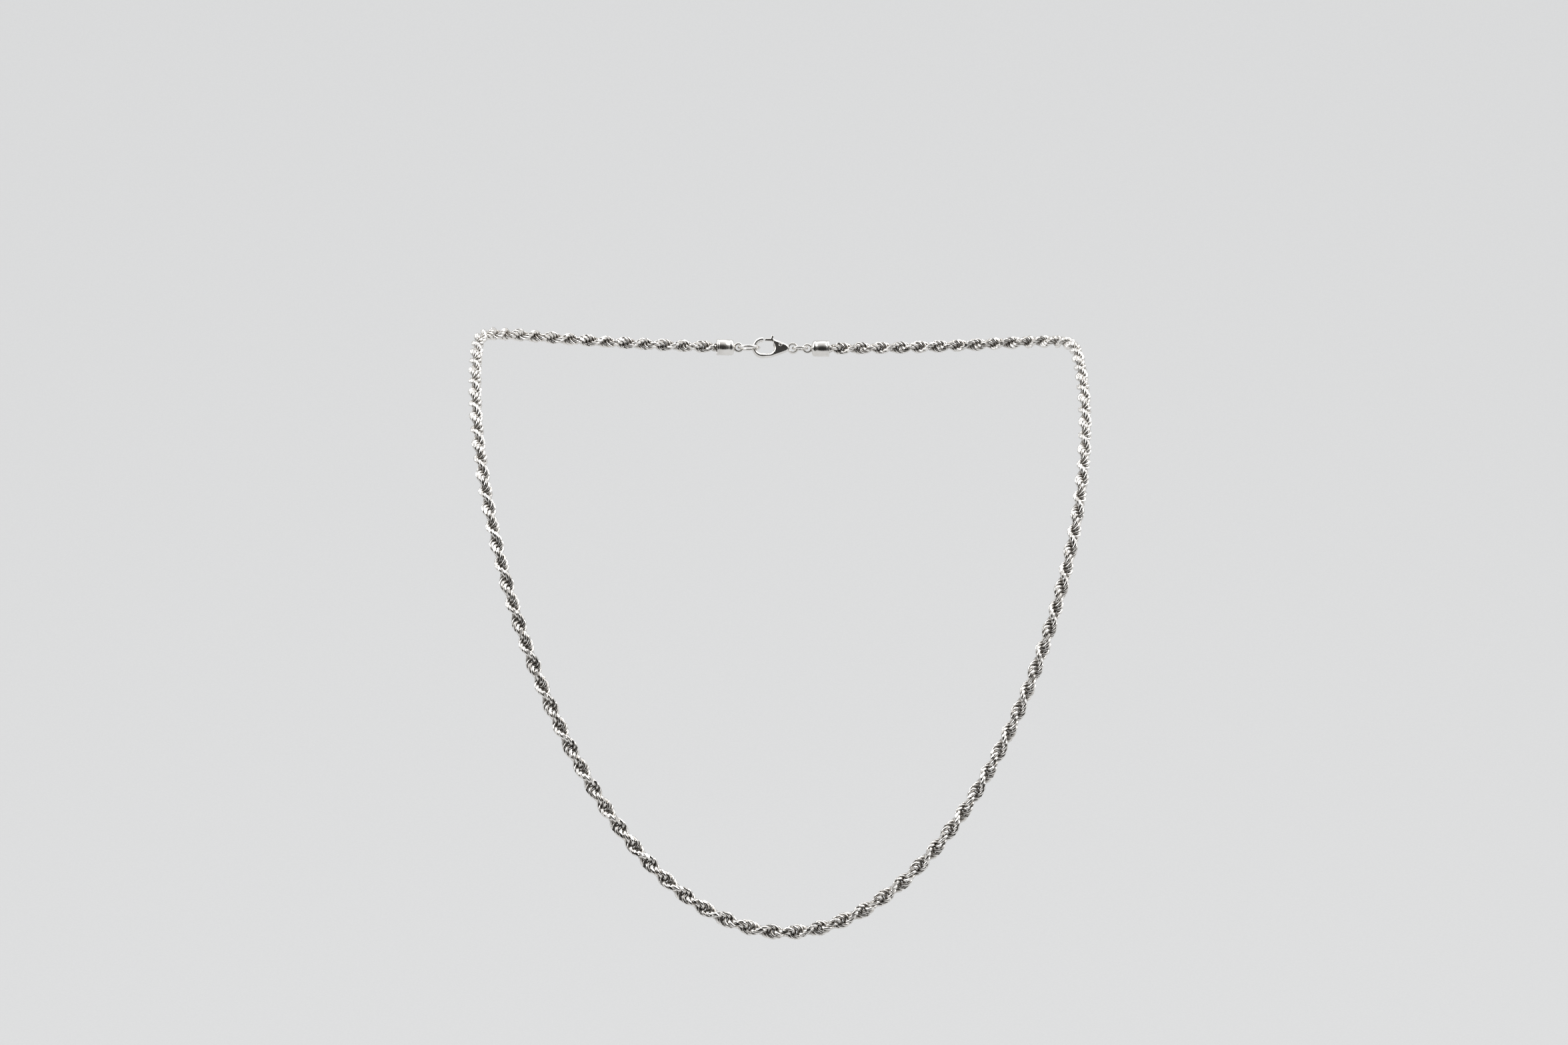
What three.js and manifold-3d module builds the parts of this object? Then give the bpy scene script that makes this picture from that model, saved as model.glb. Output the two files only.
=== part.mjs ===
// A rope chain necklace, as it hangs when worn: over both shoulders, down the chest and behind the neck,
// closed at the nape by a lobster clasp. Millimetres, +Z up, +X to the wearer's left, the chest towards -Y.
// The origin is midway between the two points where the chain crosses the tops of the shoulders.
// Left and right in the names are as seen from the front.

import * as THREE from 'three';
import { mergeVertices } from 'three/addons/utils/BufferGeometryUtils.js';
import Module from 'manifold-3d';

// The line that the chain follows
const SHOULDER_HALF_SPAN = 72.7;
const FRONT_DROP = 137;
const FRONT_ROUNDNESS = 1.56;
const CHEST_DEPTH = 75;
const CHEST_DEPTH_LENGTH = 45;
const NAPE_DEPTH = 40;
const NAPE_RISE = 6;

// The rope
const ROPE_DIAMETER = 3.0;
const ROPE_WAIST = 2.2;
const TWIST_PITCH = 10.1;
const FRONT_SECTIONS = 15;
const BACK_SECTIONS = 6;
const SHOULDER_SECTION_LENGTH = 12;
const SECTION_GAP = 0.4;
const SECTION_CHAMFER_LENGTH = 0.3;
const SECTION_CHAMFER = 0.6;
const ROPE_SIDES = 8;
const ROPE_STEPS = 8;

// End caps
const RUNNING_GAP = 0.3;
const CAP_WALL = 0.35;
const CAP_LENGTH = 4.5;
const CAP_FLOOR = 0.5;
const CAP_LOOP_WIRE = 0.6;
const CAP_LOOP_HOLE = 1.4;
const CAP_SINK = 0.2;

// Rings
const CATCH_RING_WIRE = 0.8;
const CATCH_RING_DIAMETER = 6.0;
const JUMP_RING_WIRE = 0.7;
const JUMP_RING_DIAMETER = 4.4;

// Lobster clasp, in its own plane: u runs from the hook's inner end to the eye, v is up
const CLASP_LENGTH = 12;
const CLASP_WIDTH = 5.4;
const CLASP_THICKNESS = 2.2;
const HOOK_BAR = 1.1;
const OPENING_LENGTH = 4.6;
const OPENING_WIDTH = 3.0;
const NECK_WIDTH = 2.4;
const EYE_DIAMETER = 3.0;
const EYE_HOLE = 1.7;
const LEVER_THICKNESS = 0.9;
const LEVER_GAP = 0.15;
const LEVER_TIP_GAP = 0.35;
const LEVER_BAR = 0.75;
const LEVER_TAB = 0.9;
const LEVER_HEEL = 0.62;
const MOUTH_SETBACK = 0.3;
const PIVOT_SETBACK = 1.6;
const PIVOT_HEIGHT = 0.9;
const SLOT_LEAD = 0.2;
const SLOT_TAIL = 1.2;
const SLOT_FLOOR = -0.1;
const NECK_SETBACK = 2.6;
const CLAW_BEVEL = 0.2;
const PIN_DIAMETER = 0.7;
const PIN_GAP = 0.08;
const SPRING_DIAMETER = 0.8;
const SPRING_WIRE = 0.16;
const SPRING_TURNS = 3;

const SILVER = 0xd8d6d0;

const wasm = await Module();
wasm.setup();

// Half of the closed line, from the nape (0) over one shoulder to the bottom of the front (1).
// The back is a quarter ellipse that climbs to the nape; the front is a quarter superellipse on the chest.
const BACK_SHARE = 1 / 3;

function halfLine(share, side) {
  if (share < BACK_SHARE) {
    const turn = (1 - share / BACK_SHARE) * Math.PI / 2;
    const climb = 4 * turn;
    return new THREE.Vector3(
      side * SHOULDER_HALF_SPAN * Math.cos(turn),
      NAPE_DEPTH * Math.sin(turn),
      NAPE_RISE * (1 - Math.exp(-climb)));
  }
  const turn = (share - BACK_SHARE) / (1 - BACK_SHARE) * Math.PI / 2;
  const drop = FRONT_DROP * Math.pow(Math.sin(turn), 2 / FRONT_ROUNDNESS);
  return new THREE.Vector3(
    side * SHOULDER_HALF_SPAN * Math.cos(turn),
    -CHEST_DEPTH * (1 - Math.exp(-drop / CHEST_DEPTH_LENGTH)),
    -drop);
}

class NecklaceLine extends THREE.Curve {
  getPoint(t, target = new THREE.Vector3()) {
    const left = t <= 0.5;
    return target.copy(halfLine(left ? 2 * t : 2 - 2 * t, left ? -1 : 1));
  }
}

const line = new NecklaceLine();
line.arcLengthDivisions = 4000;
const lineLength = line.getLength();
const halfLength = lineLength / 2;
const FRAME_STEPS = 1200;
const frames = line.computeFrenetFrames(FRAME_STEPS, true);

// The way along the half line at which a test of its point first holds
function lengthWhere(test) {
  const steps = 4000;
  for (let i = 0; i <= steps; i += 1) {
    const length = halfLength * i / steps;
    if (test(line.getPointAt(length / lineLength))) return length;
  }
  return halfLength;
}

// The centre of the line and its frame at a length along it
function frameAt(length) {
  const share = length / lineLength;
  const step = Math.min(Math.max(share, 0), 1) * FRAME_STEPS;
  const low = Math.min(Math.floor(step), FRAME_STEPS - 1);
  const normal = frames.normals[low].clone().lerp(frames.normals[low + 1], step - low).normalize();
  const tangent = line.getTangentAt(share);
  const binormal = new THREE.Vector3().crossVectors(tangent, normal).normalize();
  return { centre: line.getPointAt(share), tangent, normal, binormal };
}

// A stretch of rope: a two-lobed section, twisted left-handed and bent along the line, with chamfered ends
function ropeSection(from, to) {
  const start = from + SECTION_GAP / 2 + SECTION_CHAMFER_LENGTH;
  const depth = to - from - SECTION_GAP - 2 * SECTION_CHAMFER_LENGTH;
  const lobes = new THREE.EllipseCurve(0, 0, ROPE_DIAMETER / 2, ROPE_WAIST / 2).getPoints(ROPE_SIDES).slice(0, -1);
  const geometry = new THREE.ExtrudeGeometry(new THREE.Shape(lobes), {
    depth, steps: ROPE_STEPS, bevelEnabled: true, bevelSegments: 1,
    bevelThickness: SECTION_CHAMFER_LENGTH, bevelSize: SECTION_CHAMFER, bevelOffset: -SECTION_CHAMFER,
  });
  const points = geometry.getAttribute('position');
  for (let i = 0; i < points.count; i += 1) {
    const length = start + points.getZ(i);
    const { centre, normal, binormal } = frameAt(length);
    const twist = -2 * Math.PI * length / TWIST_PITCH;
    const across = points.getX(i) * Math.cos(twist) - points.getY(i) * Math.sin(twist);
    const along = points.getX(i) * Math.sin(twist) + points.getY(i) * Math.cos(twist);
    const place = centre.addScaledVector(normal, across).addScaledVector(binormal, along);
    points.setXYZ(i, place.x, place.y, place.z);
  }
  return geometry;
}

// three.js geometry to a solid and back
function solid(geometry) {
  const bare = geometry.index ? geometry.toNonIndexed() : geometry.clone();
  bare.deleteAttribute('normal');
  bare.deleteAttribute('uv');
  const merged = mergeVertices(bare, 1e-4);
  return new wasm.Manifold(new wasm.Mesh({
    numProp: 3,
    vertProperties: new Float32Array(merged.getAttribute('position').array),
    triVerts: new Uint32Array(merged.index.array),
  }));
}

function geometryOf(body) {
  const mesh = body.getMesh();
  const geometry = new THREE.BufferGeometry();
  geometry.setAttribute('position', new THREE.BufferAttribute(new Float32Array(mesh.vertProperties), 3));
  geometry.setIndex(new THREE.BufferAttribute(new Uint32Array(mesh.triVerts), 1));
  geometry.computeVertexNormals();
  return geometry;
}

const group = new THREE.Group();
const silver = { color: SILVER, roughness: 0.15, metalness: 1.0 };

function addPart(name, geometry, parent = group) {
  const mesh = new THREE.Mesh(geometry, new THREE.MeshStandardMaterial(silver));
  mesh.name = name;
  parent.add(mesh);
  return mesh;
}

// The clasp's row, from the left cap's loop to the right cap's loop, along +X
const catchRingRadius = (CATCH_RING_DIAMETER - CATCH_RING_WIRE) / 2;
const jumpRingRadius = (JUMP_RING_DIAMETER - JUMP_RING_WIRE) / 2;
const capLoopRadius = (CAP_LOOP_HOLE + CAP_LOOP_WIRE) / 2;
const ringInHook = RUNNING_GAP + CATCH_RING_WIRE / 2;
const eyeCentre = CLASP_LENGTH - HOOK_BAR - EYE_DIAMETER / 2;
const rowLength = 2 * catchRingRadius - ringInHook + eyeCentre + 2 * jumpRingRadius;
const loopLength = lengthWhere((point) => point.x <= -rowLength / 2);
const rowPoint = line.getPointAt(loopLength / lineLength);

const clasp = new THREE.Group();
clasp.position.set(-rowLength / 2, rowPoint.y, rowPoint.z);
group.add(clasp);

// End caps: a cup over the rope's end with a soldered loop; x runs from the loop's centre into the cup
const capRadius = ROPE_DIAMETER / 2 + RUNNING_GAP + CAP_WALL;
const capBack = capLoopRadius + CAP_LOOP_WIRE / 2 - CAP_SINK;
const ropeEnd = loopLength + capBack + CAP_FLOOR + RUNNING_GAP;

function endCap() {
  const bore = capRadius - CAP_WALL;
  const shoulder = CAP_FLOOR * 0.8;
  const profile = [
    [0, 0], [capRadius - shoulder, 0], [capRadius, shoulder], [capRadius, CAP_LENGTH],
    [bore, CAP_LENGTH], [bore, CAP_FLOOR], [0, CAP_FLOOR],
  ].map(([r, h]) => new THREE.Vector2(r, h));
  const cup = new THREE.LatheGeometry(profile, 18).rotateZ(-Math.PI / 2).translate(capBack, 0, 0);
  const loop = new THREE.TorusGeometry(capLoopRadius, CAP_LOOP_WIRE / 2, 6, 14).rotateX(Math.PI / 2);
  return geometryOf(solid(cup).add(solid(loop)));
}

for (const [side, sign] of [['left', 1], ['right', -1]]) {
  const share = loopLength / lineLength;
  const at = sign === 1 ? share : 1 - share;
  const outward = line.getTangentAt(at).multiplyScalar(sign);
  const up = new THREE.Vector3(0, 0, 1).addScaledVector(outward, -outward.z).normalize();
  const across = new THREE.Vector3().crossVectors(up, outward);
  const cap = addPart(`${side}_end_cap`, endCap());
  cap.position.copy(line.getPointAt(at));
  cap.quaternion.setFromRotationMatrix(new THREE.Matrix4().makeBasis(outward, across, up));
}

// Rings, both lying flat: the catch ring sits in the hook, the jump ring joins the eye to the right cap
const catchRing = addPart('catch_ring', new THREE.TorusGeometry(catchRingRadius, CATCH_RING_WIRE / 2, 6, 20), clasp);
catchRing.position.x = catchRingRadius;
const jumpRing = addPart('jump_ring', new THREE.TorusGeometry(jumpRingRadius, JUMP_RING_WIRE / 2, 6, 18), clasp);
jumpRing.position.x = rowLength - jumpRingRadius;

// The claw, standing upright in the XZ plane. u = 0 is the inner end of its hook.
const claw = new THREE.Group();
claw.position.x = 2 * catchRingRadius - ringInHook;
clasp.add(claw);

const clawHalf = CLASP_WIDTH / 2;
const openingHalf = OPENING_WIDTH / 2;
const hookCentre = clawHalf - HOOK_BAR;
const mouthStart = openingHalf + MOUTH_SETBACK;
const pivot = new THREE.Vector2(OPENING_LENGTH + PIVOT_SETBACK, PIVOT_HEIGHT);
const slotFrom = OPENING_LENGTH - SLOT_LEAD;
const slotTo = pivot.x + SLOT_TAIL;

function upright(geometry, thickness) {
  return geometry.rotateX(Math.PI / 2).translate(0, thickness / 2, 0);
}

// A C-shaped hook whose upper arm stops at the mouth, a solid neck and a round eye
function clawOutline() {
  const shape = new THREE.Shape();
  const neckStart = OPENING_LENGTH + NECK_SETBACK;
  shape.moveTo(openingHalf, openingHalf);
  shape.lineTo(mouthStart, openingHalf);
  shape.absarc(hookCentre, 0, clawHalf, Math.acos((mouthStart - hookCentre) / clawHalf), Math.PI * 1.5, false);
  shape.bezierCurveTo(OPENING_LENGTH, -clawHalf, OPENING_LENGTH + 1, -NECK_WIDTH / 2, neckStart, -NECK_WIDTH / 2);
  shape.lineTo(eyeCentre - 0.4, -EYE_DIAMETER / 2 * 0.9);
  shape.absarc(eyeCentre, 0, EYE_DIAMETER / 2, -Math.PI * 0.6, Math.PI * 0.6, false);
  shape.lineTo(neckStart, NECK_WIDTH / 2);
  shape.bezierCurveTo(OPENING_LENGTH + 1.8, clawHalf * 0.8, OPENING_LENGTH + 1, clawHalf * 0.9, slotFrom, clawHalf * 0.85);
  const openingEnd = OPENING_LENGTH - openingHalf;
  const cornerTurn = Math.acos((slotFrom - openingEnd) / openingHalf);
  shape.absarc(openingEnd, 0, openingHalf, cornerTurn, -Math.PI / 2, true);
  shape.absarc(openingHalf, 0, openingHalf, -Math.PI / 2, -Math.PI * 1.45, true);
  const eye = new THREE.Path().absarc(eyeCentre, 0, EYE_HOLE / 2, 0, 2 * Math.PI, true);
  shape.holes.push(eye);
  return shape;
}

function clawBody() {
  const plate = new THREE.ExtrudeGeometry(clawOutline(), {
    depth: CLASP_THICKNESS - 2 * CLAW_BEVEL, steps: 1, curveSegments: 7, bevelEnabled: true, bevelSegments: 1,
    bevelThickness: CLAW_BEVEL, bevelSize: CLAW_BEVEL, bevelOffset: -CLAW_BEVEL,
  }).translate(0, 0, CLAW_BEVEL);
  const slotWidth = LEVER_THICKNESS + 2 * LEVER_GAP;
  const slotLength = slotTo - slotFrom + 1;
  const slot = new THREE.BoxGeometry(slotLength, slotWidth, 2 * clawHalf)
    .translate(slotTo - slotLength / 2, 0, SLOT_FLOOR + clawHalf);
  const bore = new THREE.CylinderGeometry(PIN_DIAMETER / 2 + PIN_GAP, PIN_DIAMETER / 2 + PIN_GAP, 4, 12)
    .translate(pivot.x, 0, pivot.y);
  return geometryOf(solid(upright(plate, CLASP_THICKNESS)).subtract(solid(slot)).subtract(solid(bore)));
}

// The lever closes the mouth from the hook's tip to its pivot, with a raised thumb tab near the pivot
function leverGeometry() {
  const top = clawHalf * 0.92;
  const tip = mouthStart + LEVER_TIP_GAP;
  const tab = slotFrom - 0.5;
  const shape = new THREE.Shape();
  shape.moveTo(tip, top - LEVER_BAR);
  shape.lineTo(tip, top);
  shape.lineTo(tab - 0.9, top);
  shape.quadraticCurveTo(tab - 0.2, top + 0.1, tab, top + LEVER_TAB);
  shape.lineTo(tab + 0.5, top + LEVER_TAB);
  shape.quadraticCurveTo(tab + 0.8, top, pivot.x, pivot.y + LEVER_HEEL);
  shape.absarc(pivot.x, pivot.y, LEVER_HEEL, Math.PI / 2, -Math.PI * 0.75, true);
  shape.lineTo(pivot.x - 1.0, pivot.y);
  shape.quadraticCurveTo(pivot.x - 2, top - LEVER_BAR, tip, top - LEVER_BAR);
  const hole = new THREE.Path().absarc(pivot.x, pivot.y, PIN_DIAMETER / 2 + PIN_GAP, 0, 2 * Math.PI, false);
  shape.holes.push(hole);
  const plate = new THREE.ExtrudeGeometry(shape, {
    depth: LEVER_THICKNESS, steps: 1, curveSegments: 6, bevelEnabled: false,
  });
  return upright(plate, LEVER_THICKNESS);
}

class Helix extends THREE.Curve {
  constructor(radius, height, turns) {
    super();
    Object.assign(this, { radius, height, turns });
  }

  getPoint(t, target = new THREE.Vector3()) {
    const angle = 2 * Math.PI * this.turns * t;
    return target.set(this.radius * Math.cos(angle), this.radius * Math.sin(angle), this.height * t);
  }
}

// A coil under the lever, between the slot's floor and the lever's underside
function springGeometry() {
  const floor = SLOT_FLOOR + SPRING_WIRE / 2 + 0.05;
  const height = pivot.y - 0.3 - SPRING_WIRE / 2 - floor;
  const path = new Helix((SPRING_DIAMETER - SPRING_WIRE) / 2, height, SPRING_TURNS);
  const wire = new THREE.EllipseCurve(0, 0, SPRING_WIRE / 2, SPRING_WIRE / 2).getPoints(5).slice(0, -1);
  const section = new THREE.Shape(wire);
  return new THREE.ExtrudeGeometry(section, { steps: SPRING_TURNS * 10, extrudePath: path, bevelEnabled: false })
    .translate(pivot.x - 1.2, 0, floor);
}

addPart('clasp_claw', clawBody(), claw);
addPart('clasp_lever', leverGeometry(), claw);
addPart('lever_spring', springGeometry(), claw);
const pin = addPart('lever_pin', new THREE.CylinderGeometry(PIN_DIAMETER / 2, PIN_DIAMETER / 2, CLASP_THICKNESS, 12), claw);
pin.position.set(pivot.x, 0, pivot.y);

// The rope itself, in sections that are numbered away from each shoulder
const shoulderLength = lengthWhere((point) => point.y <= 0);
const backStart = shoulderLength - SHOULDER_SECTION_LENGTH / 2;
const frontStart = shoulderLength + SHOULDER_SECTION_LENGTH / 2;
const backStep = (backStart - ropeEnd) / BACK_SECTIONS;
const frontStep = (halfLength - frontStart) / FRONT_SECTIONS;

function addRope(name, from, to) {
  addPart(`left_${name}`, ropeSection(from, to));
  addPart(`right_${name}`, ropeSection(lineLength - to, lineLength - from));
}

addRope('shoulder_rope', backStart, frontStart);
for (let i = 0; i < BACK_SECTIONS; i += 1) {
  addRope(`back_rope_${i + 1}`, backStart - (i + 1) * backStep, backStart - i * backStep);
}
for (let i = 0; i < FRONT_SECTIONS; i += 1) {
  const number = String(i + 1).padStart(2, '0');
  addRope(`front_rope_${number}`, frontStart + i * frontStep, frontStart + (i + 1) * frontStep);
}

export default group;
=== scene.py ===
"""A rope chain necklace in diamond-cut silver, hanging as it is worn and closed by a lobster clasp.

Lengths are in millimetres until a piece is finished, then in metres. Left and right are as seen from
the front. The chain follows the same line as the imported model, and every link is a ring.
"""

import math
import random

import bmesh
import bpy
from mathutils import Matrix, Vector


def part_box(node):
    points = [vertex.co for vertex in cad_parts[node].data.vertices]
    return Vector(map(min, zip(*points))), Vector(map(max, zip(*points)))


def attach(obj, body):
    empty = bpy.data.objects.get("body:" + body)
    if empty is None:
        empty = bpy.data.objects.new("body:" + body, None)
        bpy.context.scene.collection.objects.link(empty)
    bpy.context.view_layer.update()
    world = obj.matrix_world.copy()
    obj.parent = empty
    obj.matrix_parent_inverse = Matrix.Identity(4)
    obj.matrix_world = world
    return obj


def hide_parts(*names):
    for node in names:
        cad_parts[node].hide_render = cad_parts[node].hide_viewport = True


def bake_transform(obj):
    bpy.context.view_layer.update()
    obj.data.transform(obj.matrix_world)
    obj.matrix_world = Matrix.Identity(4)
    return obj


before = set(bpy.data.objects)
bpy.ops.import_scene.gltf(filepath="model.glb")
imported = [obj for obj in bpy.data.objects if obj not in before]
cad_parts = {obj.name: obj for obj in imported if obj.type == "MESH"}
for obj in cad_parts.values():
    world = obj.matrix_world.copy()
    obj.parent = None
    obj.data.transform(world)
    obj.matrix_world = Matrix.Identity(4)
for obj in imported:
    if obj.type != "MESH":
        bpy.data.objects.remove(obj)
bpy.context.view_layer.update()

MM = 0.001
PALE = (0.72, 0.725, 0.73, 1)

# The line that the chain follows
SHOULDER_HALF_SPAN = 72.7
FRONT_DROP = 137.0
FRONT_ROUNDNESS = 1.56
CHEST_DEPTH = 75.0
CHEST_DEPTH_LENGTH = 45.0
NAPE_DEPTH = 40.0
NAPE_RISE = 6.0
BACK_SHARE = 1 / 3

# The rope's stretches between its bending places
FRONT_SECTIONS = 15
FRONT_BENDS = 12
BACK_SECTIONS = 6
BACK_BENDS = 4
SHOULDER_SECTION_LENGTH = 12.0

# The links
LINK_SPACING = 0.845
LINK_TURN = math.radians(-30.0)
LINK_PHASE = math.radians(0.0)
LINK_TILT = math.radians(10.0)
LINK_WIRE = 0.74
LINK_DIAMETER = 3.36
LINK_SEGMENTS = 16
LINK_SIDES = 5
CUT_HEIGHT = 1.49
CUT_COUNT = 6
CUT_DRIFT = math.radians(0.6)

# End caps
RUNNING_GAP = 0.3
CAP_FLOOR = 0.5
CAP_RADIUS = 2.15
CAP_BORE = 1.8
CAP_LENGTH = 4.5
CAP_LOOP_RADIUS = 1.0
CAP_LOOP_WIRE = 0.6
CAP_SINK = 0.2
CAP_BACK = CAP_LOOP_RADIUS + CAP_LOOP_WIRE / 2 - CAP_SINK

# Rings
CATCH_RING_WIRE = 0.8
JUMP_RING_WIRE = 0.7
JUMP_RING_SPLIT = math.radians(3.0)

# Lobster clasp, in its own plane: u runs from the hook to the eye, v is up
CLAW_THICKNESS = 2.2
HOOK_BAR = 1.1
NOSE_RADIUS = 2.7
NOSE_CENTRE = NOSE_RADIUS - HOOK_BAR
OPENING_RADIUS = 1.5
OPENING_LENGTH = 4.6
MOUTH_START = 1.8
MOUTH_END = OPENING_LENGTH - 0.2
MOUTH_FLOOR = 0.8
BELLY_PLACE = 3.2
BELLY_RADIUS = 2.6
EDGE_BEVEL = 0.4
NECK_START = 7.2
NECK_RADIUS = 1.2
NECK_END = 7.6
NECK_END_RADIUS = 0.95
EYE_CENTRE = 9.4
EYE_DEPTH = 1.9
EYE_RADIUS = 1.5
EYE_HOLE_RADIUS = 0.85
PIVOT_U = 6.2
PIVOT_V = 0.9
PIN_RADIUS = 0.35
PIN_HOLE_RADIUS = 0.43
LEVER_THICKNESS = 0.9
LEVER_TIP = 2.52
LEVER_BEND = 4.05
LEVER_HEIGHT = 2.11
LEVER_RADIUS = 0.37
HEEL_START = (5.4, 1.5, 0.42)
HEEL_RADIUS = 0.58
SLOT_WIDTH = 1.2
SLOT_START = 3.4
SLOT_END = PIVOT_U + 1.2
SLOT_FLOOR = -0.1
CAST_GRAIN = 0.06

# Camera, in metres; a pitch of 90 degrees looks level
CAMERA_PLACE = (-0.0223, -0.6625, -0.1049)
CAMERA_HEADING = math.radians(-2.08)
CAMERA_PITCH = math.radians(95.35)
CAMERA_ROLL = math.radians(0.46)
CAMERA_LENS = 63.3


def half_line(share, side):
    """A point on half of the line, from the nape (0) over one shoulder to the bottom of the front (1)."""
    if share < BACK_SHARE:
        turn = (1 - share / BACK_SHARE) * math.pi / 2
        return Vector((
            side * SHOULDER_HALF_SPAN * math.cos(turn),
            NAPE_DEPTH * math.sin(turn),
            NAPE_RISE * (1 - math.exp(-4 * turn)),
        ))
    turn = (share - BACK_SHARE) / (1 - BACK_SHARE) * math.pi / 2
    drop = FRONT_DROP * math.sin(turn) ** (2 / FRONT_ROUNDNESS)
    return Vector((
        side * SHOULDER_HALF_SPAN * math.cos(turn),
        -CHEST_DEPTH * (1 - math.exp(-drop / CHEST_DEPTH_LENGTH)),
        -drop,
    ))


class ChainLine:
    """The closed line by length, with a frame that is carried along it without turning."""

    STEPS = 3000

    def __init__(self):
        half = [half_line(i / self.STEPS, -1) for i in range(self.STEPS + 1)]
        self.points = half + [Vector((-p.x, p.y, p.z)) for p in reversed(half[:-1])]
        self.lengths = [0.0]
        for a, b in zip(self.points, self.points[1:]):
            self.lengths.append(self.lengths[-1] + (b - a).length)
        self.total = self.lengths[-1]
        self.normals = [Vector((0, 0, 1))]
        for a, b in zip(self.points, self.points[1:]):
            along = (b - a).normalized()
            carried = self.normals[-1] - along * self.normals[-1].dot(along)
            self.normals.append(carried.normalized())

    def place(self, length):
        """The point, the direction and the carried normal at a length."""
        low, high = 0, len(self.lengths) - 1
        while high - low > 1:
            middle = (low + high) // 2
            if self.lengths[middle] <= length:
                low = middle
            else:
                high = middle
        part = (length - self.lengths[low]) / (self.lengths[high] - self.lengths[low])
        along = (self.points[high] - self.points[low]).normalized()
        normal = self.normals[low].lerp(self.normals[high], part)
        normal = (normal - along * normal.dot(along)).normalized()
        return self.points[low].lerp(self.points[high], part), along, normal

    def point(self, length):
        return self.place(length)[0]

    def first(self, test):
        """The first length at which a test of the point holds."""
        for point, length in zip(self.points, self.lengths):
            if test(point):
                return length
        return self.total


line = ChainLine()
half_length = line.total / 2
cap_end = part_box("left_end_cap")[1].x / MM
shoulder_length = line.first(lambda point: point.y <= 0 and point.x < 0)
loop_length = line.first(lambda point: point.x <= cap_end - CAP_LOOP_RADIUS - CAP_LOOP_WIRE / 2)
rope_end = loop_length + CAP_BACK + CAP_FLOOR + RUNNING_GAP
back_start = shoulder_length - SHOULDER_SECTION_LENGTH / 2
front_start = shoulder_length + SHOULDER_SECTION_LENGTH / 2
back_step = (back_start - rope_end) / BACK_SECTIONS
front_step = (half_length - front_start) / FRONT_SECTIONS


# Shader maths


class Value:
    """A socket that carries a number; arithmetic on it adds Math nodes."""

    def __init__(self, finish, socket):
        self.finish = finish
        self.socket = socket

    def _math(self, operation, first, second):
        node = self.finish.node("ShaderNodeMath", {"operation": operation}, {0: first, 1: second})
        return Value(self.finish, node.outputs[0])

    def __add__(self, other):
        return self._math("ADD", self, other)

    def __radd__(self, other):
        return self._math("ADD", other, self)

    def __sub__(self, other):
        return self._math("SUBTRACT", self, other)

    def __rsub__(self, other):
        return self._math("SUBTRACT", other, self)

    def __mul__(self, other):
        return self._math("MULTIPLY", self, other)

    def __rmul__(self, other):
        return self._math("MULTIPLY", other, self)


class Finish:
    """A material and the one way that its nodes are made."""

    def __init__(self, name):
        self.material = bpy.data.materials.new(name)
        self.material.use_nodes = True
        self.tree = self.material.node_tree
        self.shader = self.tree.nodes["Principled BSDF"]

    def node(self, kind, settings=None, inputs=None):
        made = self.tree.nodes.new(kind)
        for key, setting in (settings or {}).items():
            if key == "stops":
                self._set_stops(made.color_ramp, setting)
            else:
                setattr(made, key, setting)
        for key, given in (inputs or {}).items():
            self.feed(made.inputs[key], given)
        return made

    def feed(self, socket, given):
        if isinstance(given, Value):
            given = given.socket
        if isinstance(given, bpy.types.NodeSocket):
            self.tree.links.new(given, socket)
        else:
            socket.default_value = given

    @staticmethod
    def _set_stops(ramp, stops):
        while len(ramp.elements) > 1:
            ramp.elements.remove(ramp.elements[-1])
        ramp.elements[0].position = stops[0][0]
        ramp.elements[0].color = stops[0][1]
        for position, color in stops[1:]:
            ramp.elements.new(position).color = color

    def value(self, kind, settings=None, inputs=None, output=0):
        return Value(self, self.node(kind, settings, inputs).outputs[output])

    def place(self):
        return self.node("ShaderNodeTexCoord").outputs["Object"]

    def attribute(self, name):
        return self.value("ShaderNodeAttribute", {"attribute_name": name}, output="Fac")

    def noise(self, scale, detail=2.0, roughness=0.5):
        settings = {"noise_dimensions": "3D"}
        inputs = {"Vector": self.place(), "Scale": scale, "Detail": detail, "Roughness": roughness}
        return self.value("ShaderNodeTexNoise", settings, inputs)

    def ramp(self, factor, stops):
        return self.node("ShaderNodeValToRGB", {"stops": stops}, {"Fac": factor}).outputs["Color"]

    def level(self, factor, low, high, to_low=0.0, to_high=1.0):
        inputs = {"Value": factor, 1: low, 2: high, 3: to_low, 4: to_high}
        return self.value("ShaderNodeMapRange", {"clamp": True}, inputs)

    def mix(self, factor, first, second):
        settings = {"data_type": "RGBA"}
        inputs = {"Factor": factor, 6: first, 7: second}
        return self.node("ShaderNodeMix", settings, inputs).outputs[2]

    def bump(self, height, strength, distance):
        inputs = {"Height": height, "Strength": strength, "Distance": distance}
        return self.node("ShaderNodeBump", None, inputs).outputs["Normal"]


class Room(Finish):
    """The same way of making nodes, for the world."""

    def __init__(self, world):
        self.tree = world.node_tree


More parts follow.
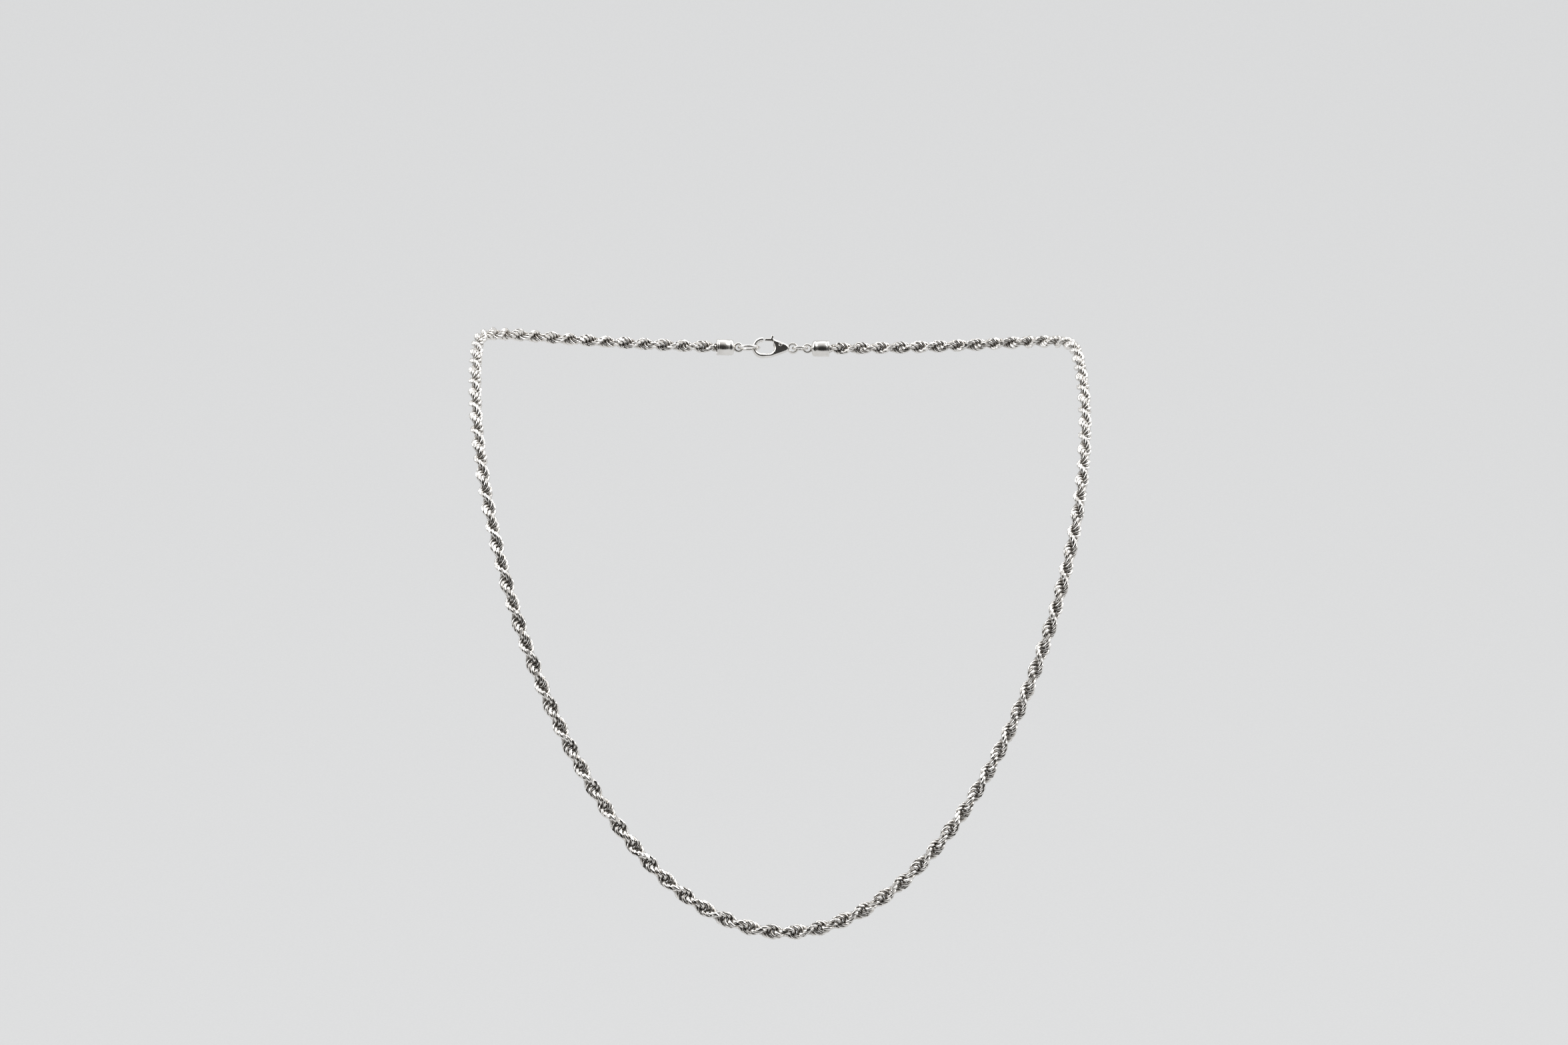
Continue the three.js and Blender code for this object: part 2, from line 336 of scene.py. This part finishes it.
def rope_silver():
    """Bright polished wire with mirror-cut facets, and painted shade darkening each ring's inner side,
    deep between the links.
    """
    finish = Finish("rope_silver")
    outward = finish.attribute("outward")
    cut = finish.attribute("cut")
    cloudy = finish.noise(420.0, 3.0, 0.6)
    fine = finish.noise(5200.0, 2.0, 0.6)
    # Painted shade: the darker tone is mixed in towards each ring's inner side, between the links, where
    # shade falls.
    depth = finish.level(outward + (cloudy - 0.5) * 0.10, 0.30, 0.66)
    bright = finish.ramp(cloudy, [(0.30, (0.80, 0.775, 0.74, 1)), (0.70, (0.90, 0.88, 0.85, 1))])
    painted_shade = finish.ramp(cloudy, [(0.3, (0.22, 0.20, 0.18, 1)), (0.7, (0.36, 0.34, 0.31, 1))])
    finish.feed(finish.shader.inputs["Base Color"], finish.mix(depth, painted_shade, bright))
    finish.shader.inputs["Metallic"].default_value = 1.0
    worn = finish.level(cloudy, 0.35, 0.70, 0.10, 0.20)
    rough = worn * (1 - cut * 0.75) + (1 - depth) * 0.25
    finish.feed(finish.shader.inputs["Roughness"], rough)
    finish.feed(finish.shader.inputs["Normal"], finish.bump(fine, 0.10, 0.00002))
    return finish.material


def clasp_silver():
    """Cast and tumbled silver with soft hairline scratches."""
    finish = Finish("clasp_silver")
    cloudy = finish.noise(300.0, 3.0, 0.6)
    settings = {"noise_dimensions": "3D"}
    stretched = finish.node("ShaderNodeMapping", {"vector_type": "TEXTURE"}, {
        "Vector": finish.place(),
        "Rotation": (0.3, 0.5, 0.2),
        "Scale": (8.0, 1.0, 1.0),
    })
    inputs = {"Vector": stretched.outputs[0], "Scale": 9000.0, "Detail": 2.0}
    scratches = finish.value("ShaderNodeTexNoise", settings, inputs)
    tone = finish.ramp(cloudy, [(0.32, (0.74, 0.72, 0.69, 1)), (0.68, (0.88, 0.865, 0.84, 1))])
    finish.feed(finish.shader.inputs["Base Color"], tone)
    finish.shader.inputs["Metallic"].default_value = 1.0
    hairline = finish.level(scratches, 0.45, 0.75)
    worn = finish.level(cloudy, 0.3, 0.7, 0.13, 0.24)
    finish.feed(finish.shader.inputs["Roughness"], worn + hairline * 0.08)
    finish.feed(finish.shader.inputs["Normal"], finish.bump(scratches, 0.08, 0.00002))
    return finish.material


def spring_steel():
    """Drawn steel wire, greyer than the silver, with a trace of oil."""
    finish = Finish("spring_steel")
    drawn = finish.noise(2600.0, 2.0, 0.7)
    tone = finish.ramp(drawn, [(0.35, (0.40, 0.39, 0.38, 1)), (0.70, (0.56, 0.55, 0.53, 1))])
    finish.feed(finish.shader.inputs["Base Color"], tone)
    finish.shader.inputs["Metallic"].default_value = 1.0
    finish.feed(finish.shader.inputs["Roughness"], finish.level(drawn, 0.3, 0.7, 0.25, 0.40))
    finish.feed(finish.shader.inputs["Normal"], finish.bump(drawn, 0.12, 0.00002))
    return finish.material


ROPE_SILVER = rope_silver()
CLASP_SILVER = clasp_silver()
SPRING_STEEL = spring_steel()


# Making pieces


def finished(name, bm, material):
    """Turns a bmesh in millimetres into a piece in metres."""
    bmesh.ops.scale(bm, vec=(MM, MM, MM), verts=bm.verts)
    mesh = bpy.data.meshes.new(name)
    bm.to_mesh(mesh)
    bm.free()
    mesh.materials.append(material)
    piece = bpy.data.objects.new(name, mesh)
    bpy.context.scene.collection.objects.link(piece)
    return piece


def wire_ring(radius, wire, segments, sides):
    """A ring of round wire round +Z."""
    bm = bmesh.new()
    upright = Matrix.Translation((radius, 0, 0)) @ Matrix.Rotation(math.pi / 2, 4, "X")
    bmesh.ops.create_circle(bm, segments=sides, radius=wire / 2, matrix=upright)
    bmesh.ops.spin(
        bm, geom=bm.verts[:] + bm.edges[:], cent=(0, 0, 0), axis=(0, 0, 1),
        angle=2 * math.pi, steps=segments, use_merge=True,
    )
    bmesh.ops.remove_doubles(bm, verts=bm.verts, dist=wire / 100)
    bmesh.ops.recalc_face_normals(bm, faces=bm.faces)
    for face in bm.faces:
        face.smooth = True
    return bm


def cut_facet(bm, direction, height, cut):
    """Planes the ring off at a height along a direction and closes the cut with a flat facet."""
    bmesh.ops.bisect_plane(
        bm, geom=bm.verts[:] + bm.edges[:] + bm.faces[:], dist=1e-5,
        plane_co=direction * height, plane_no=direction, clear_outer=True,
    )
    bmesh.ops.remove_doubles(bm, verts=bm.verts, dist=0.005)
    edges = [edge for edge in bm.edges if edge.is_boundary]
    for face in bmesh.ops.edgeloop_fill(bm, edges=edges)["faces"]:
        face.normal_update()
        if face.normal.dot(direction) < 0:
            face.normal_flip()
        face.smooth = False
        face[cut] = 1.0
    for edge in edges:
        edge.smooth = False


class Link:
    """One ring of the rope: where it sits, how it is turned, and its two cut facets."""

    def __init__(self, number, length, chance):
        self.length = length
        self.number = number
        turn = LINK_PHASE + number * LINK_TURN
        self.turn = turn + math.radians(chance.uniform(-1.5, 1.5))
        self.tilt = LINK_TILT + math.radians(chance.uniform(-1.5, 1.5))
        self.sink = chance.uniform(0.0, 0.03)
        spacing = 2 * math.pi / CUT_COUNT
        offset = number * CUT_DRIFT - self.turn
        self.cut_angle = offset - spacing * round(offset / spacing)

    def matrix(self):
        centre, along, normal = line.place(self.length)
        across = along.cross(normal)
        outward = normal * math.cos(self.turn) + across * math.sin(self.turn)
        aside = along.cross(outward)
        ahead = along * math.cos(self.tilt) + aside * math.sin(self.tilt)
        rest = outward.cross(ahead)
        turned = Matrix((outward, ahead, rest)).transposed().to_4x4()
        return Matrix.Translation(centre) @ turned

    def add_to(self, piece):
        ring = wire_ring((LINK_DIAMETER - LINK_WIRE) / 2, LINK_WIRE, LINK_SEGMENTS, LINK_SIDES)
        cut = ring.faces.layers.float.new("cut")
        facing = Vector((math.cos(self.cut_angle), 0, math.sin(self.cut_angle)))
        cut_facet(ring, facing, CUT_HEIGHT + self.sink, cut)
        cut_facet(ring, -facing, CUT_HEIGHT + self.sink, cut)
        outward = ring.verts.layers.float.new("outward")
        for vert in ring.verts:
            vert[outward] = Vector((vert.co.x, vert.co.z)).length / (LINK_DIAMETER / 2)
        bmesh.ops.transform(ring, matrix=self.matrix(), verts=ring.verts)
        mesh = bpy.data.meshes.new("link")
        ring.to_mesh(mesh)
        ring.free()
        piece.from_mesh(mesh)
        bpy.data.meshes.remove(mesh)


def all_links():
    chance = random.Random(11)
    first = rope_end + LINK_DIAMETER / 2
    last = line.total - first
    count = int((last - first) / LINK_SPACING)
    start = (line.total - count * LINK_SPACING) / 2
    middle = count // 2
    return [Link(i - middle, start + i * LINK_SPACING, chance) for i in range(count + 1)]


LINKS = all_links()


def stretch_of_links(name, low, high, nodes):
    """The links whose centres lie between two lengths, as one piece."""
    bm = bmesh.new()
    for link in LINKS:
        if low <= link.length < high:
            link.add_to(bm)
    piece = finished(name, bm, ROPE_SILVER)
    if nodes:
        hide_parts(*nodes)
    return piece


def side_length(side, length):
    """A length along the left half, or the matching one along the right half."""
    return length if side == "left" else line.total - length


def bending_stretch(side, name, lengths, nodes):
    """Links from the middle of one stretch to the middle of the next, as one piece."""
    ends = [side_length(side, length) for length in lengths]
    piece = stretch_of_links(name, min(ends), max(ends), nodes)
    start, end = [line.point(length) * MM for length in ends]
    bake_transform(piece)


def riding_stretch(side, name, body, lengths, nodes):
    ends = sorted(side_length(side, length) for length in lengths)
    piece = stretch_of_links(name, ends[0], ends[1], nodes)
    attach(piece, body)


def rope_half(side):
    body = "shoulders"
    from_length = shoulder_length
    for i in range(FRONT_BENDS):
        to_length = front_start + (i + 0.5) * front_step
        next_body = f"{side}_front_{i + 1:02d}"
        nodes = [f"{side}_front_rope_{i + 1:02d}"]
        if i == 0:
            nodes.append(f"{side}_shoulder_rope")
        name = f"{side}_front_links_{i + 1:02d}"
        bending_stretch(side, name, (from_length, to_length), nodes)
        body, from_length = next_body, to_length
    nodes = [f"{side}_front_rope_{i + 1:02d}" for i in range(FRONT_BENDS, FRONT_SECTIONS)]
    riding_stretch(side, f"{side}_bottom_links", body, (from_length, half_length), nodes)
    body = "shoulders"
    from_length = shoulder_length
    for i in range(BACK_BENDS):
        to_length = back_start - (i + 0.5) * back_step
        next_body = f"{side}_back_{i + 1}"
        nodes = [f"{side}_back_rope_{i + 1}"]
        name = f"{side}_back_links_{i + 1}"
        bending_stretch(side, name, (from_length, to_length), nodes)
        body, from_length = next_body, to_length
    nodes = [f"{side}_back_rope_{i + 1}" for i in range(BACK_BENDS, BACK_SECTIONS)]
    riding_stretch(side, f"{side}_nape_links", body, (from_length, 0.0), nodes)


# The clasp's row


def middle_of(node):
    low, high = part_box(node)
    return (low + high) / 2 / MM


def joined(parts):
    """Several bmeshes as one."""
    whole = bmesh.new()
    for part in parts:
        mesh = bpy.data.meshes.new("part")
        part.to_mesh(mesh)
        part.free()
        whole.from_mesh(mesh)
        bpy.data.meshes.remove(mesh)
    return whole


def turned_profile(profile, steps):
    """A closed shape turned round X from points of (x, radius)."""
    bm = bmesh.new()
    verts = [bm.verts.new((x, 0, radius)) for x, radius in profile]
    edges = [bm.edges.new(pair) for pair in zip(verts, verts[1:])]
    bmesh.ops.spin(
        bm, geom=verts + edges, cent=(0, 0, 0), axis=(1, 0, 0),
        angle=2 * math.pi, steps=steps, use_merge=True,
    )
    bmesh.ops.remove_doubles(bm, verts=bm.verts, dist=1e-4)
    bmesh.ops.recalc_face_normals(bm, faces=bm.faces)
    for face in bm.faces:
        face.smooth = True
    for edge in bm.edges:
        if len(edge.link_faces) == 2 and edge.calc_face_angle() > math.radians(50):
            edge.smooth = False
    return bm


def end_cap(side):
    """A cup over the rope's end with an engraved line, a rolled rim and a soldered loop."""
    rim = CAP_BACK + CAP_LENGTH
    body = CAP_RADIUS - 0.07
    profile = [
        (CAP_BACK, 0), (CAP_BACK, 0.9), (CAP_BACK + 0.06, 1.35), (CAP_BACK + 0.22, 1.75),
        (CAP_BACK + 0.48, 1.98), (CAP_BACK + 0.8, body),
        (CAP_BACK + 1.1, body), (CAP_BACK + 1.16, body - 0.07), (CAP_BACK + 1.28, body - 0.07),
        (CAP_BACK + 1.34, body), (rim - 0.62, body), (rim - 0.56, body - 0.05),
        (rim - 0.5, body), (rim - 0.42, CAP_RADIUS), (rim - 0.1, CAP_RADIUS), (rim, CAP_RADIUS - 0.1),
        (rim, CAP_BORE + 0.06), (rim - 0.06, CAP_BORE), (CAP_BACK + CAP_FLOOR, CAP_BORE),
        (CAP_BACK + CAP_FLOOR, 0),
    ]
    cup = turned_profile(profile, 40)
    loop = wire_ring(CAP_LOOP_RADIUS, CAP_LOOP_WIRE, 32, 12)
    bmesh.ops.rotate(loop, verts=loop.verts, matrix=Matrix.Rotation(math.pi / 2, 3, "X"))
    solder = bmesh.new()
    bmesh.ops.create_uvsphere(solder, u_segments=20, v_segments=12, radius=0.48)
    bmesh.ops.scale(solder, verts=solder.verts, vec=(0.45, 1.0, 1.0))
    bmesh.ops.translate(solder, verts=solder.verts, vec=(CAP_BACK, 0, 0))
    for face in solder.faces:
        face.smooth = True
    bm = joined([cup, loop, solder])
    place, along, _ = line.place(loop_length)
    if side == "right":
        place = Vector((-place.x, place.y, place.z))
        along = Vector((-along.x, along.y, along.z))
    up = (Vector((0, 0, 1)) - along * along.z).normalized()
    turned = Matrix((along, up.cross(along), up)).transposed().to_4x4()
    bmesh.ops.transform(bm, matrix=Matrix.Translation(place) @ turned, verts=bm.verts)
    node = f"{side}_end_cap"
    piece = finished(f"{node}_silver", bm, CLASP_SILVER)
    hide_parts(node)
    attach(piece, f"{side}_back_{BACK_BENDS}")


def catch_ring():
    """The closed ring that the claw hooks, with its solder seam."""
    low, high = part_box("catch_ring")
    radius = (high.x - low.x) / MM / 2 - CATCH_RING_WIRE / 2
    ring = wire_ring(radius, CATCH_RING_WIRE, 56, 14)
    seam = wire_ring(CATCH_RING_WIRE / 2 - 0.06, 0.16, 20, 8)
    upright = Matrix.Rotation(math.pi / 2, 4, "X")
    bmesh.ops.transform(seam, matrix=Matrix.Translation((-radius, 0, 0)) @ upright, verts=seam.verts)
    bm = joined([ring, seam])
    bmesh.ops.translate(bm, verts=bm.verts, vec=middle_of("catch_ring"))
    piece = finished("catch_ring_silver", bm, CLASP_SILVER)
    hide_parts("catch_ring")
    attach(piece, "catch_ring")


def jump_ring():
    """The ring between the claw's eye and the right cap, closed end to end with a fine split."""
    low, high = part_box("jump_ring")
    radius = (high.x - low.x) / MM / 2 - JUMP_RING_WIRE / 2
    bm = bmesh.new()
    upright = Matrix.Translation((radius, 0, 0)) @ Matrix.Rotation(math.pi / 2, 4, "X")
    bmesh.ops.create_circle(bm, cap_ends=True, segments=14, radius=JUMP_RING_WIRE / 2, matrix=upright)
    bmesh.ops.spin(
        bm, geom=bm.verts[:] + bm.edges[:] + bm.faces[:], cent=(0, 0, 0), axis=(0, 0, 1),
        angle=2 * math.pi - JUMP_RING_SPLIT, steps=52, use_merge=False,
    )
    bmesh.ops.recalc_face_normals(bm, faces=bm.faces)
    for face in bm.faces:
        face.smooth = len(face.verts) == 4
    turn = Matrix.Rotation(math.radians(70), 3, "Z")
    bmesh.ops.rotate(bm, verts=bm.verts, matrix=turn)
    bmesh.ops.translate(bm, verts=bm.verts, vec=middle_of("jump_ring"))
    piece = finished("jump_ring_silver", bm, CLASP_SILVER)
    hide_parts("jump_ring")
    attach(piece, "jump_ring")


def hull(name, discs, layers):
    """A solid round upright discs of (u, v, radius), drawn in by each layer's (y, inset)."""
    bm = bmesh.new()
    for u, v, radius in discs:
        for y, inset in layers:
            place = Matrix.Translation((u, y, v)) @ Matrix.Rotation(math.pi / 2, 4, "X")
            bmesh.ops.create_circle(bm, segments=56, radius=radius - inset, matrix=place)
    bmesh.ops.convex_hull(bm, input=bm.verts)
    loose = [vert for vert in bm.verts if not vert.link_faces]
    bmesh.ops.delete(bm, geom=loose, context="VERTS")
    return placed(name, bm)


def block(name, low, high):
    """A box between two corners."""
    bm = bmesh.new()
    bmesh.ops.create_cube(bm, size=1.0)
    size = Vector(high) - Vector(low)
    bmesh.ops.scale(bm, verts=bm.verts, vec=size)
    bmesh.ops.translate(bm, verts=bm.verts, vec=Vector(low) + size / 2)
    return placed(name, bm)


def placed(name, bm):
    bmesh.ops.recalc_face_normals(bm, faces=bm.faces)
    mesh = bpy.data.meshes.new(name)
    bm.to_mesh(mesh)
    bm.free()
    solid = bpy.data.objects.new(name, mesh)
    bpy.context.scene.collection.objects.link(solid)
    return solid


def cast(first, added, removed, softness):
    """Joins and cuts solids, then softens the result like a tumbled casting, as a bmesh."""
    for operation, others in (("UNION", added), ("DIFFERENCE", removed)):
        for other in others:
            step = first.modifiers.new(operation, "BOOLEAN")
            step.operation = operation
            step.solver = "EXACT"
            step.object = other
    grain = first.modifiers.new("grain", "REMESH")
    grain.mode = "VOXEL"
    grain.voxel_size = CAST_GRAIN
    soft = first.modifiers.new("soft", "SMOOTH")
    soft.factor = 0.5
    soft.iterations = softness
    ready = first.evaluated_get(bpy.context.evaluated_depsgraph_get())
    mesh = bpy.data.meshes.new_from_object(ready)
    bm = bmesh.new()
    bm.from_mesh(mesh)
    for face in bm.faces:
        face.smooth = True
    bpy.data.meshes.remove(mesh)
    for solid in (first, *added, *removed):
        old = solid.data
        bpy.data.objects.remove(solid)
        bpy.data.meshes.remove(old)
    return bm


def claw_origin():
    """Where u and v are zero: the middle of the hook's opening at its closed end."""
    low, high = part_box("clasp_claw")
    return Vector((low.x / MM + HOOK_BAR, (low.y + high.y) / 2 / MM, low.z / MM + NOSE_RADIUS))


def claw():
    """The cast body: a round hook, two cheeks round the lever, and the eye."""
    half = CLAW_THICKNESS / 2
    rounded = [(-half, 0.42), (-half * 0.72, 0.1), (0, 0.0), (half * 0.72, 0.1), (half, 0.42)]
    through = [(-half * 2, 0.0), (half * 2, 0.0)]
    outline = [
        (NOSE_CENTRE, 0, NOSE_RADIUS), (BELLY_PLACE, 0, BELLY_RADIUS), (NECK_START, 0, NECK_RADIUS),
    ]
    body = hull("claw", outline, rounded)
    eye_wire = EYE_RADIUS - EYE_HOLE_RADIUS
    eye = wire_ring(EYE_RADIUS - eye_wire / 2, eye_wire, 48, 16)
    upright = Matrix.Translation((EYE_CENTRE, 0, 0)) @ Matrix.Rotation(math.pi / 2, 4, "X")
    broad = Matrix.Scale(EYE_DEPTH / eye_wire, 4, (0, 1, 0))
    bmesh.ops.transform(eye, matrix=broad @ upright, verts=eye.verts)
    added = [
        hull("neck", [(NECK_START, 0, NECK_RADIUS), (NECK_END, 0, NECK_END_RADIUS)], rounded),
        placed("eye", eye),
    ]
    opening = [(OPENING_RADIUS, 0, OPENING_RADIUS), (OPENING_LENGTH - OPENING_RADIUS, 0, OPENING_RADIUS)]
    removed = [
        hull("opening", opening, through),
        hull("front_edge", opening, [(-half - 0.1, -EDGE_BEVEL - 0.1), (-half + EDGE_BEVEL, 0.0)]),
        hull("back_edge", opening, [(half - EDGE_BEVEL, 0.0), (half + 0.1, -EDGE_BEVEL - 0.1)]),
        block("mouth", (MOUTH_START, -2, MOUTH_FLOOR), (MOUTH_END, 2, 4)),
        block("slot", (SLOT_START, -SLOT_WIDTH / 2, SLOT_FLOOR), (SLOT_END, SLOT_WIDTH / 2, 4)),
        hull("pin_hole", [(PIVOT_U, PIVOT_V, PIN_HOLE_RADIUS)], through),
    ]
    bm = cast(body, added, removed, 7)
    bmesh.ops.translate(bm, verts=bm.verts, vec=claw_origin())
    piece = finished("clasp_claw_silver", bm, CLASP_SILVER)
    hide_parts("clasp_claw")
    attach(piece, "clasp")


def lever():
    """The spring lever that closes the mouth, with its thumb tab."""
    half = LEVER_THICKNESS / 2
    rounded = [(-half, 0.12), (-half * 0.7, 0.0), (half * 0.7, 0.0), (half, 0.12)]
    through = [(-half * 3, 0.0), (half * 3, 0.0)]
    bend = (LEVER_BEND, LEVER_HEIGHT, LEVER_RADIUS)
    bar = hull("bar", [(LEVER_TIP, LEVER_HEIGHT, LEVER_RADIUS), bend], rounded)
    added = [
        hull("arm", [bend, HEEL_START], rounded),
        hull("heel", [HEEL_START, (PIVOT_U, PIVOT_V, HEEL_RADIUS)], rounded),
        hull("tab", [(3.95, 2.2, 0.32), (4.15, 3.05, 0.3)], rounded),
    ]
    removed = [hull("hole", [(PIVOT_U, PIVOT_V, PIN_HOLE_RADIUS)], through)]
    bm = cast(bar, added, removed, 5)
    bmesh.ops.translate(bm, verts=bm.verts, vec=claw_origin())
    piece = finished("clasp_lever_silver", bm, CLASP_SILVER)
    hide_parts("clasp_lever")
    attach(piece, "clasp_lever")


def pin():
    """The lever's pin with slightly domed ends."""
    half = CLAW_THICKNESS / 2
    profile = [
        (-half, 0), (-half + 0.01, PIN_RADIUS * 0.5), (-half + 0.05, PIN_RADIUS * 0.85),
        (-half + 0.12, PIN_RADIUS), (half - 0.12, PIN_RADIUS), (half - 0.05, PIN_RADIUS * 0.85),
        (half - 0.01, PIN_RADIUS * 0.5), (half, 0),
    ]
    bm = turned_profile(profile, 24)
    bmesh.ops.rotate(bm, verts=bm.verts, matrix=Matrix.Rotation(math.pi / 2, 3, "Z"))
    bmesh.ops.translate(bm, verts=bm.verts, vec=claw_origin() + Vector((PIVOT_U, 0, PIVOT_V)))
    piece = finished("lever_pin_silver", bm, CLASP_SILVER)
    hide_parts("lever_pin")
    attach(piece, "clasp")


# Stage, light and camera


def drawn_out(bm, edges, offset):
    """Extrudes edges by an offset and returns the new ones."""
    made = bmesh.ops.extrude_edge_only(bm, edges=edges)["geom"]
    verts = [item for item in made if isinstance(item, bmesh.types.BMVert)]
    bmesh.ops.translate(bm, verts=verts, vec=offset)
    moved = set(verts)
    return [item for item in bm.edges if all(vert in moved for vert in item.verts)]


def stage():
    """A pale floor that curves up into a pale wall."""
    bm = bmesh.new()
    corners = [bm.verts.new((x, -0.55, -0.5)) for x in (-3.0, 3.0)]
    front = [bm.edges.new(corners)]
    foot = drawn_out(bm, front, (0, 0.95, 0))
    spun = bmesh.ops.spin(
        bm, geom=foot + list({vert for edge in foot for vert in edge.verts}), cent=(0, 0.4, 0.7),
        axis=(1, 0, 0), angle=math.pi / 2, steps=24, use_merge=False,
    )
    rim = [item for item in spun["geom_last"] if isinstance(item, bmesh.types.BMEdge)]
    drawn_out(bm, rim, (0, 0, 2.0))
    bmesh.ops.recalc_face_normals(bm, faces=bm.faces)
    for face in bm.faces:
        face.smooth = True
    mesh = bpy.data.meshes.new("sweep")
    bm.to_mesh(mesh)
    bm.free()
    sweep = bpy.data.objects.new("sweep", mesh)
    bpy.context.scene.collection.objects.link(sweep)
    finish = Finish("paper")
    grain = finish.noise(900.0, 2.0, 0.5)
    tone = finish.ramp(grain, [(0.3, (0.61, 0.615, 0.62, 1)), (0.7, (0.63, 0.635, 0.64, 1))])
    finish.shader.inputs["Base Color"].default_value = (0.12, 0.12, 0.12, 1)
    finish.feed(finish.shader.inputs["Emission Color"], tone)
    finish.shader.inputs["Emission Strength"].default_value = 0.96
    finish.shader.inputs["Roughness"].default_value = 0.9
    finish.shader.inputs["Specular IOR Level"].default_value = 0.2
    mesh.materials.append(finish.material)


def area_light(name, place, target, size, power, color):
    data = bpy.data.lights.new(name, "AREA")
    data.shape = "RECTANGLE"
    data.size, data.size_y = size
    data.energy = power
    data.color = color
    lamp = bpy.data.objects.new(name, data)
    lamp.location = place
    aim = Vector(target) - Vector(place)
    lamp.rotation_euler = aim.to_track_quat("-Z", "Y").to_euler()
    bpy.context.scene.collection.objects.link(lamp)


def lights():
    middle = (0, -0.03, -0.06)
    area_light("key_softbox", (0.75, -0.35, 0.75), middle, (0.7, 0.5), 6.5, (1.0, 0.99, 0.98))
    area_light("fill_softbox", (-0.85, -0.25, 0.45), middle, (0.5, 0.6), 3.0, (0.98, 0.99, 1.0))
    area_light("wall_wash", (0, 0.2, 1.6), (0, 1.4, 0.1), (2.4, 0.6), 16.0, (1.0, 1.0, 1.0))


def surroundings():
    """A light room, dark behind the camera; what is seen past the stage is plain and pale."""
    world = bpy.data.worlds.new("studio")
    bpy.context.scene.world = world
    world.use_nodes = True
    room = Room(world)
    way = room.node("ShaderNodeSeparateXYZ", None, {
        0: room.node("ShaderNodeTexCoord").outputs["Generated"],
    })
    ahead = Value(room, way.outputs["Y"])
    upward = Value(room, way.outputs["Z"])
    rightward = Value(room, way.outputs["X"])
    openness = ahead * 0.5 + 0.5 + upward * 0.42 + rightward * 0.06
    light = room.ramp(openness, [
        (0.00, (0.03, 0.029, 0.028, 1)),
        (0.16, (0.06, 0.058, 0.055, 1)),
        (0.36, (0.43, 0.425, 0.42, 1)),
        (0.60, (0.84, 0.835, 0.83, 1)),
        (1.00, (1.05, 1.045, 1.04, 1)),
    ])
    lit = room.node("ShaderNodeBackground", None, {"Color": light, "Strength": 1.0})
    plain = room.node("ShaderNodeBackground", None, {"Color": PALE, "Strength": 1.0})
    seen = room.node("ShaderNodeLightPath").outputs["Is Camera Ray"]
    both = room.node("ShaderNodeMixShader", None, {0: seen, 1: lit.outputs[0], 2: plain.outputs[0]})
    room.feed(room.tree.nodes["World Output"].inputs["Surface"], both.outputs[0])


def camera():
    data = bpy.data.cameras.new("camera")
    data.sensor_width = 36.0
    data.lens = CAMERA_LENS
    data.clip_start = 0.01
    data.clip_end = 20.0
    viewer = bpy.data.objects.new("camera", data)
    viewer.matrix_world = (
        Matrix.Translation(CAMERA_PLACE)
        @ Matrix.Rotation(CAMERA_HEADING, 4, "Z")
        @ Matrix.Rotation(CAMERA_PITCH, 4, "X")
        @ Matrix.Rotation(CAMERA_ROLL, 4, "Z")
    )
    bpy.context.scene.collection.objects.link(viewer)
    bpy.context.scene.camera = viewer


camera()
stage()
lights()
surroundings()
rope_half("left")
rope_half("right")
for side in ("left", "right"):
    end_cap(side)
catch_ring()
jump_ring()
claw()
lever()
pin()
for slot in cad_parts["lever_spring"].material_slots:
    slot.material = SPRING_STEEL
bpy.context.scene.view_settings.view_transform = "Standard"
